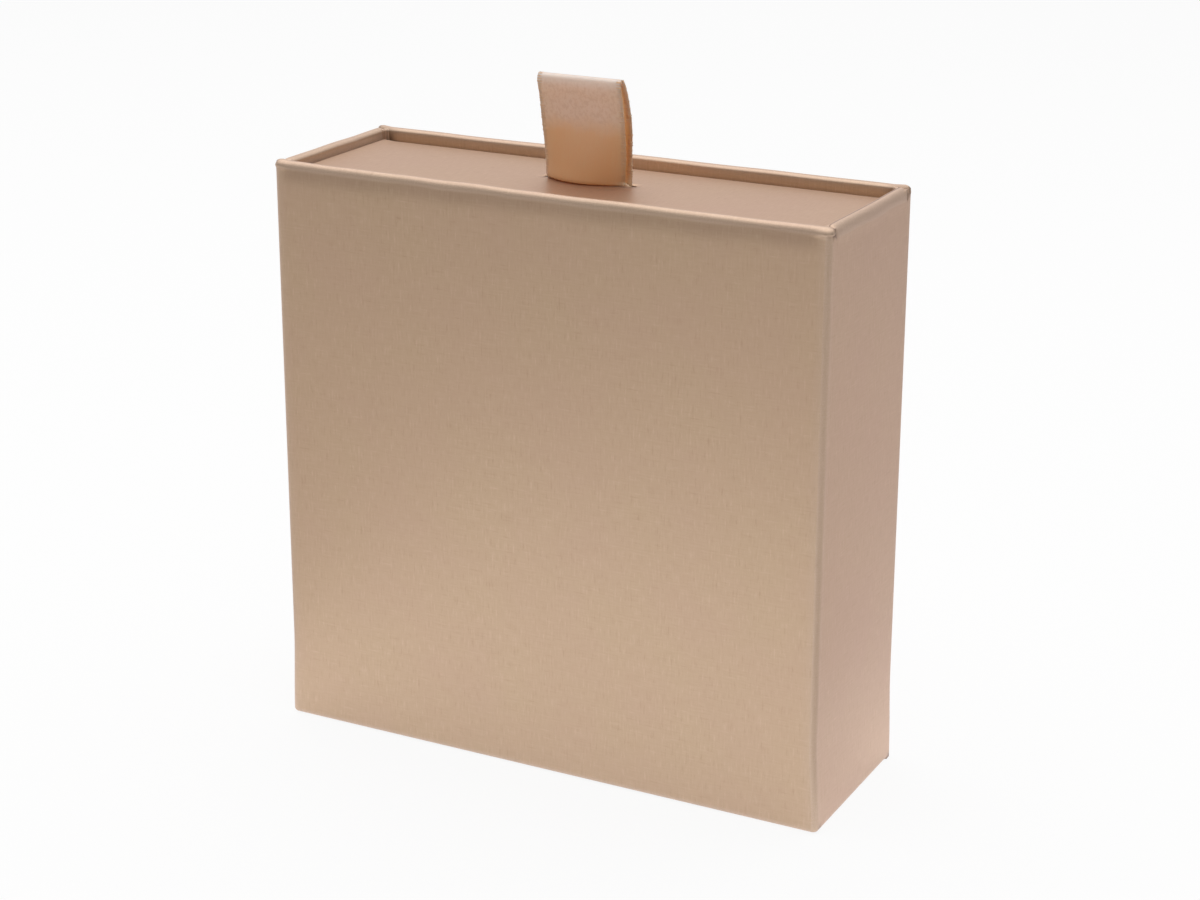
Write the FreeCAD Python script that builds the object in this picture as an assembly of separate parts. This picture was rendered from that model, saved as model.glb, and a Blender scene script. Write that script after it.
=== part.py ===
import FreeCAD, Part
import os

from FreeCAD import Placement, Rotation, Vector

# A rigid gift box in two halves: a sleeve, closed at its far end, and a drawer
# tray that slides out of it by a ribbon pull. Both are greyboard panels taped
# at the corners and wrapped in one sheet of cover paper.
#
# The box stands on its closed end. +Z is the way the tray pulls out, X runs
# across the broad faces, and the tray's open side faces -Y. The origin is the
# centre of the foot. Every size is in millimetres.

# ------------------------------------------------------------ driving sizes
box_width = 100.0  # across the broad face, over the paper
box_depth = 33.5  # from broad face to broad face, over the paper
box_height = 100.0  # foot to rim

board = 1.5  # greyboard
cover_paper = 0.2
lining_paper = 0.15
foot_paper = 0.2  # the loose sheet pasted under the closed end
stay_tape = 0.1  # gummed paper tape, pressed flush into the boards

corner_round = 0.8  # the sleeve's four long corners, on the boards
fold_round = 0.5  # cut edges of the boards, where the paper rolls over
tray_corner_round = 1.4  # where the tray's walls meet, rounder than the sleeve
tray_base_round = 1.2  # where its walls are bent up from the base
tape_reach = 9.0  # tape on each side of a corner
tape_inset = 1.0  # tape stops short of the boards' ends
slit_gap = 0.1  # beside a turned-in flap, where the paper is slit

sleeve_turn_in = 15.0  # paper folded over the sleeve's rim
lining_start = 10.0  # rim to the top of the sleeve's lining
turn_under = 12.0  # paper folded under the closed end
mitre_gap = 0.3  # between two flaps of the turn-under
mitre_stop = 1.0  # a mitre ends this far inside the corner
foot_inset = 2.5  # the foot sheet stops short of the edges

recess = 1.6  # the tray's pull end lies below the rim
running_gap = 0.45  # tray to sleeve, on each side

ribbon_width = 15.0
ribbon_thickness = 0.3
slit_offset = 1.0  # the ribbon's slit lies this far behind the middle
loop_height = 17.8  # top of the loop above the tray's pull end
loop_lean = 3.4  # the folded top hangs this far before the slit
fold_half = 0.7  # half the width of the fold at the top
bow_height = 7.6  # where the two legs stand furthest apart
back_bow = 0.5  # the back leg there, behind the slit
front_bow = 3.6  # the front leg there, before the slit
knuckle_radius = 0.4  # the two legs pinched together at the slit
knuckle_gap = 0.05  # knuckle to the tray's paper
tail_gap = 0.1  # between the two legs inside the slit
slit_margin = 1.0  # the slit is this much longer than the ribbon, each end
slit_clearance = 0.1  # the slit beside the legs, each face
patch_margin = 2.0  # the patch laps over the tails
patch_gap = 0.5  # patch to the tray's floor lining

tiny = 0.001
over = 1.0  # how far a cutter runs past what it cuts

# ------------------------------------------------------------ derived sizes
wall = cover_paper + board  # a wall from its outside to its bare inner face
sleeve_foot = foot_paper  # underside of the sleeve's wrapping
sleeve_height = box_height - sleeve_foot
seat = sleeve_foot + wall + lining_paper  # what the tray's far end rests on
pull_face = box_height - recess

narrowing = wall + lining_paper + cover_paper + running_gap
tray_width = box_width - 2 * narrowing
tray_depth = box_depth - 2 * narrowing
tray_length = pull_face - seat

pull_inner_face = pull_face - wall - cover_paper
slit_depth = 2 * (ribbon_thickness + slit_clearance) + tail_gap
patch_reach = tray_depth / 2 - wall - lining_paper - patch_gap - slit_offset
tail_reach = patch_reach - patch_margin


# ------------------------------------------------------------ small helpers
def block(x_size, y_size, low, high):
    """A box centred on the Z axis, from the height low to the height high."""
    corner = Vector(-x_size / 2, -y_size / 2, low)
    return Part.makeBox(x_size, y_size, high - low, corner)


def span(x_pair, y_pair, z_pair):
    """A box between two values on each axis."""
    low = Vector(min(x_pair), min(y_pair), min(z_pair))
    high = Vector(max(x_pair), max(y_pair), max(z_pair))
    size = high - low
    return Part.makeBox(size.x, size.y, size.z, low)


def upright_edges(shape):
    """Straight edges that run along Z."""
    return [edge for edge in shape.Edges if abs(edge.tangentAt(edge.FirstParameter).z) > 1 - tiny]


def level_edges(shape, height, x_size, y_size):
    """Edges that lie at one height, within a rectangle about the Z axis."""
    found = []
    for edge in shape.Edges:
        box = edge.BoundBox
        level = abs(box.ZMin - height) < tiny and abs(box.ZMax - height) < tiny
        inside = max(-box.XMin, box.XMax) < x_size / 2 + tiny and max(-box.YMin, box.YMax) < y_size / 2 + tiny
        if level and inside:
            found.append(edge)
    return found


def save(name, shape):
    """Write one sub-part, in place, under its node's name."""
    shape.exportStep(f"parts/{name}.step")


# ------------------------------------------------------------ a wrapped case
class Case:
    """Four walls around a floor board, wrapped in paper and open at the top.

    A case is made in its own frame, with its foot on z = 0, its mouth up and
    the Z axis through its middle. The front and back walls run the full width,
    and the left and right walls stand between them.
    """

    def __init__(self, width, depth, height, side_round, base_round):
        self.width = width
        self.depth = depth
        self.height = height
        self.inner_width = width - 2 * wall
        self.inner_depth = depth - 2 * wall
        self.board_low = cover_paper
        self.board_high = height - cover_paper
        self.side_round = side_round
        self.base_round = base_round

    def rounded_block(self, grow):
        """The boards' outline as a full block, grown by a paper's thickness."""
        low = self.board_low - grow
        high = self.board_high + grow
        size_in = 2 * (cover_paper - grow)
        solid = block(self.width - size_in, self.depth - size_in, low, high)
        solid = solid.makeFillet(self.side_round + grow, upright_edges(solid))
        base = level_edges(solid, low, self.width, self.depth)
        solid = solid.makeFillet(self.base_round + grow, base)
        rim = level_edges(solid, high, self.width, self.depth)
        return solid.makeFillet(fold_round + grow, rim)

    def hollow(self, shrink, low, high):
        """The space between the walls, less a lining of one thickness."""
        return block(self.inner_width - 2 * shrink, self.inner_depth - 2 * shrink, low, high)

    def shell(self, grow):
        """Walls and floor as one solid, with a rounded rim."""
        solid = self.rounded_block(grow)
        solid = solid.cut(self.hollow(grow, wall, self.height + over))
        rim = level_edges(solid, self.board_high + grow, self.inner_width, self.inner_depth)
        return solid.makeFillet(fold_round + grow, rim)

    def corners(self, names):
        """(name, x sign, y sign) for the four upright corners."""
        left, right, front, back = names
        return [
            (f"{front}_{left}", -1, -1),
            (f"{front}_{right}", 1, -1),
            (f"{back}_{left}", -1, 1),
            (f"{back}_{right}", 1, 1),
        ]

    def tapes(self, names):
        """Paper angles over the upright corners, flush with the boards."""
        pressed = self.rounded_block(0).cut(self.rounded_block(-stay_tape))
        heights = (self.board_low + tape_inset, self.board_high - tape_inset)
        tapes = {}
        for name, x_sign, y_sign in self.corners(names):
            x_pair = (x_sign * self.width / 2, x_sign * (self.width / 2 - tape_reach))
            y_pair = (y_sign * self.depth / 2, y_sign * (self.depth / 2 - tape_reach))
            tapes[name] = pressed.common(span(x_pair, y_pair, heights))
        return tapes

    def boards(self, names, tapes):
        """The four walls and the floor, cut from one shell and let in for the tapes."""
        left, right, front, back = names
        shell = self.shell(0)
        for tape in tapes.values():
            shell = shell.cut(tape)
        wide = self.width / 2 + over
        deep = self.depth / 2 + over
        inner_x = self.inner_width / 2
        inner_y = self.inner_depth / 2
        heights = (-over, self.height + over)
        return {
            left: shell.common(span((-wide, -inner_x), (-inner_y, inner_y), heights)),
            right: shell.common(span((wide, inner_x), (-inner_y, inner_y), heights)),
            front: shell.common(span((-wide, wide), (-deep, -inner_y), heights)),
            back: shell.common(span((-wide, wide), (deep, inner_y), heights)),
            "floor": shell.common(self.hollow(0, 0, wall)),
        }

    def skin(self):
        """Cover paper outside, over the rim and all the way down inside."""
        return self.shell(cover_paper).cut(self.shell(0))

    def slit_corners(self, paper, low, thickness):
        """Free the turned-in flaps from each other at the inner corners."""
        side = thickness + slit_gap
        high = self.height - cover_paper - fold_round
        for x_sign in (-1, 1):
            for y_sign in (-1, 1):
                x_pair = (x_sign * self.inner_width / 2, x_sign * (self.inner_width / 2 - side))
                y_pair = (y_sign * self.inner_depth / 2, y_sign * (self.inner_depth / 2 - side))
                paper = paper.cut(span(x_pair, y_pair, (low, high)))
        return paper


# ------------------------------------------------------------ the sleeve
def cut_turn_under(case, paper):
    """Open the paper under the closed end and mitre its four flaps."""
    window_width = case.width - 2 * turn_under
    window_depth = case.depth - 2 * turn_under
    paper = paper.cut(block(window_width, window_depth, -over, cover_paper))
    mitre_length = (turn_under - mitre_stop) * 2**0.5
    for x_sign in (-1, 1):
        for y_sign in (-1, 1):
            mitre = span((-mitre_gap, mitre_length), (-mitre_gap / 2, mitre_gap / 2), (-over, cover_paper))
            angle = {(1, 1): 45, (-1, 1): 135, (-1, -1): 225, (1, -1): 315}[(x_sign, y_sign)]
            corner = Vector(x_sign * window_width / 2, y_sign * window_depth / 2, 0)
            mitre.Placement = Placement(corner, Rotation(Vector(0, 0, 1), angle))
            paper = paper.cut(mitre)
    return paper


def sleeve_wrap(case):
    """The sleeve's cover paper, whose turned-in end steps over the lining."""
    lap_low = case.height - sleeve_turn_in
    lap_high = case.height - lining_start
    paper = case.skin().cut(case.hollow(0, wall, lap_high))
    lap = case.hollow(lining_paper, lap_low, lap_high + cover_paper)
    lap = lap.cut(case.hollow(lining_paper + cover_paper, lap_low - over, case.height))
    paper = paper.fuse(lap).removeSplitter()
    paper = case.slit_corners(paper, lap_low, lining_paper + cover_paper)
    return cut_turn_under(case, paper)


def sleeve():
    """The outer half: boards, tapes, wrapping, lining and foot sheet."""
    case = Case(box_width, box_depth, sleeve_height, corner_round, fold_round)
    names = ("left", "right", "front", "back")
    tapes = case.tapes(names)
    parts = {f"sleeve_tape_{name}": tape for name, tape in tapes.items()}
    for name, panel in case.boards(names, tapes).items():
        label = "end" if name == "floor" else name
        parts[f"sleeve_{label}_board"] = panel
    parts["sleeve_wrap"] = sleeve_wrap(case)
    lining_low = wall + lining_paper
    lining_high = case.height - lining_start
    lining = case.hollow(0, lining_low, lining_high)
    parts["sleeve_lining"] = lining.cut(case.hollow(lining_paper, 0, case.height))
    parts["sleeve_end_lining"] = case.hollow(0, wall, lining_low)
    foot = block(box_width - 2 * foot_inset, box_depth - 2 * foot_inset, -foot_paper, 0)
    parts["sleeve_foot_sheet"] = foot.makeFillet(corner_round, upright_edges(foot))
    for shape in parts.values():
        shape.translate(Vector(0, 0, sleeve_foot))
    return parts


# ------------------------------------------------------------ the tray
def tray():
    """The drawer: a wrapped case laid on its back, with a slit for the ribbon."""
    case = Case(tray_width, tray_length, tray_depth, tray_corner_round, tray_base_round)
    names = ("left", "right", "back", "pull")
    tapes = case.tapes(names)
    parts = {f"tray_tape_{name}": tape for name, tape in tapes.items()}
    for name, panel in case.boards(names, tapes).items():
        label = "base" if name == "floor" else name
        parts[f"tray_{label}_board"] = panel
    parts["tray_wrap"] = case.slit_corners(case.skin(), wall, cover_paper)
    parts["tray_lining"] = case.hollow(cover_paper, wall, wall + lining_paper)

    # The case's mouth turns from +Z to -Y, and its pull end to +Z.
    lay_down = Placement(Vector(0, tray_depth / 2, (pull_face + seat) / 2), Rotation(Vector(1, 0, 0), 90))
    for shape in parts.values():
        shape.transformShape(lay_down.toMatrix())

    slit = block(ribbon_width + 2 * slit_margin, slit_depth, pull_inner_face - over, pull_face + over)
    slit.translate(Vector(0, slit_offset, 0))
    for name in ("tray_pull_board", "tray_wrap"):
        parts[name] = parts[name].cut(slit)
    return parts


# ------------------------------------------------------------ the ribbon
def ribbon_tails():
    """The ribbon's two ends, through the slit and pasted out to each side."""
    half = ribbon_width / 2
    low = pull_inner_face - ribbon_thickness
    tails = []
    for y_sign in (-1, 1):
        near = y_sign * tail_gap / 2
        leg = span((-half, half), (near, near + y_sign * ribbon_thickness), (low, pull_face))
        tail = span((-half, half), (near, y_sign * tail_reach), (low, pull_inner_face))
        bent = leg.fuse(tail).removeSplitter()
        bend = [edge for edge in bent.Edges
                if abs(edge.BoundBox.YMin - near) < tiny and abs(edge.BoundBox.YMax - near) < tiny
                and edge.BoundBox.ZMax < low + tiny]
        tails.append(bent.makeFillet(ribbon_thickness - tail_gap / 2, bend))
    return Part.makeCompound(tails)


def ribbon_patch():
    """Paper pasted over both tails, down to the wall all round them."""
    tails_x = ribbon_width + 2 * cover_paper
    tails_y = 2 * (tail_reach + cover_paper)
    low = pull_inner_face - ribbon_thickness
    rim = block(2 * patch_margin + ribbon_width, 2 * patch_reach, pull_inner_face - cover_paper, pull_inner_face)
    crown = block(tails_x, tails_y, low - cover_paper, pull_inner_face)
    tails = block(ribbon_width, 2 * tail_reach, low, pull_inner_face)
    return rim.fuse(crown).removeSplitter().cut(tails)


def ribbon_loop():
    """The folded band outside: two bowed legs from a pinched knuckle to the fold."""
    knuckle = pull_face + knuckle_gap + knuckle_radius
    fold = pull_face + loop_height - fold_half

    def at(y, z):
        return Vector(-ribbon_width / 2, y, z)

    front_foot = at(-knuckle_radius, knuckle)
    back_foot = at(knuckle_radius, knuckle)
    back_top = at(fold_half - loop_lean, fold)
    front_top = at(-fold_half - loop_lean, fold)
    outline = Part.Wire([
        Part.Arc(front_foot, at(0, pull_face + knuckle_gap), back_foot).toShape(),
        Part.Arc(back_foot, at(back_bow, pull_face + bow_height), back_top).toShape(),
        Part.Arc(back_top, at(-loop_lean, pull_face + loop_height), front_top).toShape(),
        Part.Arc(front_top, at(-front_bow, pull_face + bow_height), front_foot).toShape(),
    ])
    across = Vector(ribbon_width, 0, 0)
    outside = Part.Face(outline).extrude(across)
    inside = Part.Face(outline.makeOffset2D(-ribbon_thickness)).extrude(across)
    return outside.cut(inside)


def ribbon():
    """Everything about the slit, made on the Z axis and moved to its place."""
    parts = {
        "ribbon_tails": ribbon_tails(),
        "ribbon_patch": ribbon_patch(),
        "ribbon_loop": ribbon_loop(),
    }
    for shape in parts.values():
        shape.translate(Vector(0, slit_offset, 0))
    return parts


# ------------------------------------------------------------ the whole box
def main():
    os.makedirs("parts", exist_ok=True)
    parts = {**sleeve(), **tray(), **ribbon()}
    for name, shape in parts.items():
        save(name, shape)


main()
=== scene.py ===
# %% [markdown]
# # A drawer gift box in pearl paper
# The object is a rigid gift box of two halves. A sleeve of grey board, closed
# at one end, stands upright, and a drawer tray slides out of its open end by a
# loop of satin ribbon. Both halves are wrapped in one champagne paper.
#
# The construction is already fixed in CAD. This lesson dresses it: the stiff
# box of the CAD model gets the softness of real paper, with a rolled rim,
# slit corners, a slightly crowned pull end and a ribbon that bends.

# %% Load the fixed frame
import math
from itertools import accumulate
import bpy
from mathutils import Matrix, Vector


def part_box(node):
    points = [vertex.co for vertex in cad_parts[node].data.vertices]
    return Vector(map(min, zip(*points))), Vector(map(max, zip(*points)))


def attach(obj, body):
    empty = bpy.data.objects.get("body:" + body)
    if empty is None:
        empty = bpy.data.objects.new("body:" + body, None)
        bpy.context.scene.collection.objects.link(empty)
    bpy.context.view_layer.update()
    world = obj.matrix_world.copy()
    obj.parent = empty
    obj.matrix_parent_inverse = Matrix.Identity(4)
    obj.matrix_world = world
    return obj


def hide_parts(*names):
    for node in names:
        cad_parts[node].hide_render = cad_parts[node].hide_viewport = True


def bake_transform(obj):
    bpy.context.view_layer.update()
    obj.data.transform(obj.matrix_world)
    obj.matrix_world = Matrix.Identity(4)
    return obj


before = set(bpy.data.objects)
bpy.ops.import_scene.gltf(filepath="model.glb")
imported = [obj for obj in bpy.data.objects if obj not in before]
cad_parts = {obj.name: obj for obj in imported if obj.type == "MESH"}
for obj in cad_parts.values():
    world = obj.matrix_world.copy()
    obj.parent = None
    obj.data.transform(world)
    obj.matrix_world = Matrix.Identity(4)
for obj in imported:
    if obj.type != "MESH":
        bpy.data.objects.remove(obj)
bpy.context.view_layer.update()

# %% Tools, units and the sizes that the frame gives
from types import SimpleNamespace

import bmesh
import bpy
import numpy as np
from mathutils import Matrix, Vector

MM = 0.001  # the scene is in metres, and the box is thought of in millimetres


def box_mm(node):
    """A CAD node's lowest and highest corner, in millimetres."""
    low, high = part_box(node)
    return np.array(low) / MM, np.array(high) / MM


sleeve_low, sleeve_high = box_mm("sleeve_wrap")
tray_low, tray_high = box_mm("tray_wrap")
print("sleeve", (sleeve_high - sleeve_low).round(2), "mm")
print("tray", (tray_high - tray_low).round(2), "mm")


# %% [markdown]
# ## How paper goes round a box
# Cover paper is one flat sheet. It is drawn up the outside of the boards,
# rolled over the rim and pasted down inside, and at each corner it is slit so
# that the four flaps can turn in past each other.
#
# A box modifier could round a cube, but it would know nothing of the sheet.
# Here the mesh is the sheet itself: a grid whose columns run round the box and
# whose rows run from the underside, up the wall, over the rim and down inside.
# The broad walls' flaps own the corners and end in a rounded knob, and the
# side walls' flaps start beside them, as they do when a box is wrapped by hand.
# The grid's own coordinates become the UV map, in millimetres of flat paper,
# so the paper's grain will run over every fold without a break.


# %% Small curves used by every piece
def ease(x):
    """0 below 0, 1 above 1, and a smooth rise between."""
    x = min(1.0, max(0.0, x))
    return x * x * (3 - 2 * x)


def fade(distance, reach):
    """1 at a distance of 0, falling smoothly to 0 at the reach."""
    return ease(1 - distance / reach)


def bell(x, width):
    """1 at 0, and falling away on both sides."""
    return math.exp(-((x / width) ** 2))


def arch(share):
    """0 at both ends of a length, and 1 half way."""
    return math.sin(math.pi * min(1, max(0, share)))


def ring_wobble(perimeter, seed, low, high):
    """A gentle waviness of about -1 to 1 that closes on itself round the box."""
    random = np.random.default_rng(seed)
    turns = np.arange(low, high + 1)
    size = random.uniform(0.4, 1.0, len(turns)) / np.sqrt(turns)
    phase = random.uniform(0, 2 * math.pi, len(turns))
    size /= math.sqrt(2 * np.sum(size**2))
    return lambda s: float(np.sum(size * np.sin(2 * math.pi * turns * s / perimeter + phase)))


def spaced(low, high, step, extra=()):
    """Even stations from low to high, with the extra ones let in."""
    count = max(1, round((high - low) / step))
    even = [low + (high - low) * k / count for k in range(count + 1)]
    kept = [x for x in even if all(abs(x - e) > 0.3 * step for e in extra) or x in (low, high)]
    return sorted(set(kept) | {e for e in extra if low < e < high})


# %% A case, and the look of its paper
PLAIN_LOOK = dict(
    mitre=0.0,  # gap between the flaps that are mitred under the foot
    layer=0.0,  # how much higher the flap underneath lies there
    knobs=(0, 0, 0, 0),  # how far the rim stands out at each corner
    ears=(0, 0, 0, 0),  # how far it stands up there
    sag=(0, 0, 0, 0),  # how far each wall's rim dips along its middle
    hollow=0.0,  # how far a broad wall is drawn in under its rim
    under_rim=0.0,  # strength of the painted shadow band there
    side_roll=0.0,  # what the short walls add to the roll outside
    side_inner_roll=0.0,  # and inside
    inner_hollow=0.0,  # how far the flap is drawn in below the roll
    rubbed=0.0,  # how much lighter the short walls' inner flaps are, as wear and painted highlight
    bow=0.0,  # how far a wall stands out in its middle
    flare=(0, 0, 0),  # swelling of the right and left wall at the foot, and its height
    chip=0,  # size of the crushed corner at the foot, which painted shade darkens
    lap=None,  # where the flap passes over the lining, as its height and depth
    slit=(),  # lowest and highest line of the ribbon's slit
    slit_ends=(),
    closed=False,  # a foot closed by paper
)


class WrappedCase:
    """The paper on one half of the box, in the case's own frame: a across the
    broad walls, b from broad wall to broad wall, c from the foot to the mouth."""

    def __init__(self, half_a, half_b, height, corner, fold, wall, place, **look):
        self.half = (half_a, half_b)
        self.height, self.corner, self.fold, self.wall = height, corner, fold, wall
        self.place = place
        self.look = SimpleNamespace(**{**PLAIN_LOOK, **look})
        arc = corner * math.pi / 2
        self.lengths = (2 * arc + 2 * (half_a - corner), 2 * (half_b - corner))
        perimeter = 2 * sum(self.lengths)
        ripples = [ring_wobble(perimeter, self.look.seed + k, 3, 26) for k in range(3)]
        self.waves = ripples + [ring_wobble(perimeter, self.look.seed + 3, 1, 3)]

    def swelling(self, line, c):
        """How far the paste lifts the outer face at a height."""
        return 0.0

    def is_cut(self, panel, left, right, below, above):
        """True for a cell between two columns and two rows that the slit corners take away."""
        if not {below[0], above[0]} & {"in", "down"}:
            return False
        inner = self.half[panel % 2] - self.wall + 1e-6
        return any(abs(flat) > inner or angle for flat, angle in (left, right))


# %% Rows and columns of the grid
ARC = [90 * k / 8 for k in range(9)]  # degrees round an upright corner
ROLL = sorted([180 * k / 16 for k in range(17)] + [93.0, 117.5])  # degrees over the rim
CREASE = (95, 115)  # where the paper turned over the board's inner edge, in degrees: a slight groove with a painted shade line
RIM_DROPS = (4.8, 4.0, 3.2, 2.6, 2.1, 1.6, 1.2, 0.9, 0.6, 0.3)  # lines below the roll outside
FLAP_DROPS = (0.4, 0.9, 1.6, 2.6)  # and inside
EVEN_BELOW, FLAP_BELOW = 6.4, 3.6  # where even lines take over from them, outside and inside
BROAD_ENDS = (1.9, 2.6, 3.6)  # extra columns beside the corners of a broad wall
SHORT_ENDS = (0.2, 0.4, 0.6, 0.8, 1.0, 1.2, 1.45, 1.8)
SEAM_STEP, SEAM_SLOPE = 0.10, 0.16  # how high the lap seam stands, and how wide its slope is


def grid_rows(case):
    """(kind, inset or angle, height) from the underside to the flap's end."""
    look, fold, wall = case.look, case.fold, case.wall
    rows = [("under", inset, 0.0) for inset in look.under]
    for k in range(6):
        turn = math.radians(90 * k / 5)
        rows.append(("out", fold - fold * math.sin(turn), fold - fold * math.cos(turn)))
    top = case.height + look.rise - look.roll
    outer = spaced(fold + 1.1, top - EVEN_BELOW, look.step, look.slit)
    rows += [("out", 0.0, c) for c in [fold + 0.3, fold + 0.6] + outer]
    rows += [("rim", 0.0, -drop) for drop in RIM_DROPS]
    rows += [("roll", angle, 0.0) for angle in ROLL]
    rows += [("in", wall, -drop) for drop in FLAP_DROPS]
    flap_top = case.height - look.inner_roll - FLAP_BELOW
    inner = spaced(look.flap_end, flap_top, look.step, look.slit)[::-1]
    if not look.lap:
        return rows + [("down", wall, c) for c in inner]
    lap, depth = look.lap  # a crisp step where the flap ends on the lining
    rows += [("down", wall, c) for c in inner if c >= lap + 0.3]
    rows += [("down", wall, lap + 0.2), ("down", wall + depth, lap - 0.15)]
    return rows + [("down", wall + depth, c) for c in inner if c < lap - 0.4]


def grid_columns(case, panel):
    """(place on the flat wall, signed corner angle) across one panel."""
    look, broad = case.look, panel % 2 == 0
    reach = case.half[panel % 2] - case.corner
    inner = case.half[panel % 2] - case.wall
    ends = [inner] + [reach - d for d in (BROAD_ENDS if broad else SHORT_ENDS)]
    extra = ends + [-e for e in ends] + list(look.slit_ends if broad else ())
    seam_panel, seam = look.seam
    if panel % 2 == seam_panel % 2:
        extra += [seam, seam + SEAM_SLOPE, -seam, -seam - SEAM_SLOPE]
    columns = [(x, 0.0) for x in spaced(-reach, reach, look.step * 0.55, extra)]
    if broad:
        columns = [(-reach, -a) for a in ARC[:0:-1]] + columns + [(reach, a) for a in ARC[1:]]
    return columns


def row_gap(case, a, b):
    """Flat length of paper between two rows, roughly so beside the roll."""
    if a[0] == b[0] == "roll":
        return math.radians(b[1] - a[1]) * case.wall / 2
    if b[0] in ("rim", "in") or a[0] == "rim":
        return abs(b[2] - a[2]) if a[0] == b[0] else 0.4
    return 0.3 if "roll" in (a[0], b[0]) else math.hypot(b[1] - a[1], b[2] - a[2])


# %% [markdown]
# Paper that is drawn over a board by hand is never quite even. The rim stands
# a little proud and waves, its corners stand up as small ears, the wall is
# drawn in just under the rim, and a slit shows as a small notch, darkened with
# painted shade. All this changes along the wall and hardly up it, so it is
# worked out once for each upright line of the grid. Four short functions then
# say where that line runs: under the foot, up the wall, over the rim and down
# inside. Each also says how much wear the paper shows there, partly a painted
# highlight, and how much painted shade it gets, and the finish reads both
# numbers.

# %% One upright line of the grid
CORNER_REACH = 1.8  # how far from a corner the paper is pressed
KNOB_REACH = 2.4  # how far a corner's knob runs along the rim
SAG_REACH = 12  # how far from a corner the rim's sag is full
FLAP_START = 0.8  # where a short wall's flap starts beside its corner


class UprightLine:
    """What stays the same along one upright line of the paper."""

    def __init__(self, case, panel, flat, angle, s):
        look = case.look
        self.panel, self.broad = panel, panel % 2 == 0
        self.flat, self.angle, self.s = flat, angle, s
        self.long_half, self.deep_half = case.half[panel % 2], case.half[1 - panel % 2]
        self.reach = self.long_half - case.corner
        self.turn = math.radians(abs(angle))
        self.side = math.copysign(1.0, angle) if angle else 0.0
        self.from_end = self.reach - abs(flat)
        corner = panel if flat > 0 else (panel - 1) % 4
        near_corner = fade(self.from_end, CORNER_REACH)
        self.corner_wear = near_corner**2
        on_side = 1 - (1.0 if self.broad else near_corner)
        on_broad = (1 - near_corner) * self.broad

        proud, risen, wide, self.bowed = (wave(s) for wave in case.waves)
        # How far the knob and the whole bead stand out
        self.knob = look.knobs[corner] * fade(self.from_end, KNOB_REACH) * self.broad
        self.bulge = look.bead[panel % 2] * (1 + 0.5 * proud) + self.knob
        # The highest level of the roll, where it starts outside, and its height inside
        self.crest = case.height + look.rise * (1 + 0.2 * risen) + look.ears[corner] * near_corner
        self.crest -= look.sag[panel] * ease(self.from_end / SAG_REACH)
        self.top = self.crest - (look.roll + look.side_roll * on_side) * (1 + 0.12 * wide)
        self.inner_roll = look.inner_roll + look.side_inner_roll * on_side
        # The hollow under the rim, and the strength of the painted shadow band under it
        self.hollow = look.hollow * (1 + 0.2 * wide) * on_broad
        self.under_rim = look.under_rim * on_broad
        # Painted shade at the slit beside a short wall's flap, its notch, and the lap seam
        self.shade = self.notch = self.step = 0.0
        if not self.broad:
            # painted shade beside the corner's knob, deeper where the knob stands out
            depth = min(1.0, 0.3 + 3.2 * look.knobs[corner])
            self.shade = (1 - ease((self.from_end - FLAP_START) / 0.6)) * depth
            self.notch = 1 - ease((self.from_end - FLAP_START) / 0.9)
        if panel == look.seam[0]:
            self.step = SEAM_STEP * ease((flat - look.seam[1]) / SEAM_SLOPE)


# %% Under the foot
def foot_point(case, line, kind, inset, height):
    """(along, out, up), wear and shade where the flaps meet in a mitre."""
    look, left = case.look, line.long_half - inset
    gap = look.mitre * ease((inset - case.corner) / 1.5)
    along = line.side * left if line.side else line.flat * (left / line.reach)
    along *= (left - gap) / left
    lift = (0 if line.broad else look.layer) * ease((inset - case.corner) / 0.8)
    worn = 0.1 if kind == "under" else 1 - height / (case.fold * 1.5)
    return (along, line.deep_half - inset, height + lift), worn, 0.0


# %% Up the wall
HOLLOW_DEPTH = 3.8  # how far down the wall is drawn in
BEAD_DEPTH = (1.6, 0.55)  # how far down the bead runs on a short and on a broad wall
RIM_SHADOW_END = 3.4  # how far down the painted shadow under the rim reaches
CRUSHED_CORNER = ((1, True), (2, False))  # the back right corner, from both its walls


def rim_shape(case, line, depth):
    """How far the paper is drawn in at a depth below the roll, its wear with painted highlight,
    and its painted shade.
    """
    bead = BEAD_DEPTH[line.broad] * (1 - 0.4 * math.sin(line.turn))
    drawn_in = line.hollow * max(0.0, 1 - depth / HOLLOW_DEPTH) ** 2
    drawn_in -= line.bulge * fade(depth, bead)
    # painted shade in the slit, and a painted shadow under a knob
    slit_and_knob_shade = max(line.shade, 2.8 * line.knob * bell(depth - 0.28, 0.32))  # the fold under a knob
    slit_and_knob_shade *= ease(1.1 - depth / 0.8)
    # painted shadow band under the rim
    painted_rim_shadow = line.under_rim * (ease(0.6 + depth / 0.5) * ease((RIM_SHADOW_END - depth) / 2.8))
    # wear with a painted highlight just under the roll
    rubbed = fade(depth, 0.15) * 0.5
    return drawn_in, rubbed, max(slit_and_knob_shade, painted_rim_shadow)


def flared(case, line, along, out, c):
    """The short walls stand out a little at the foot, where the paper is thickest."""
    right, left, height = case.look.flare
    low = fade(c, height) if height else 0.0
    way = along if line.panel < 2 else -along
    if not line.broad:
        side = right if line.panel == 1 else left
        return along, out + low * side * (0.75 - 0.25 * way / line.reach)
    ends = ease((abs(along) - line.reach + 4) / 4)
    moved = low * ends * (right if way > 0 else left) * (1.0 if line.panel == 0 else 0.5)
    return along + math.copysign(moved, along), out


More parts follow.
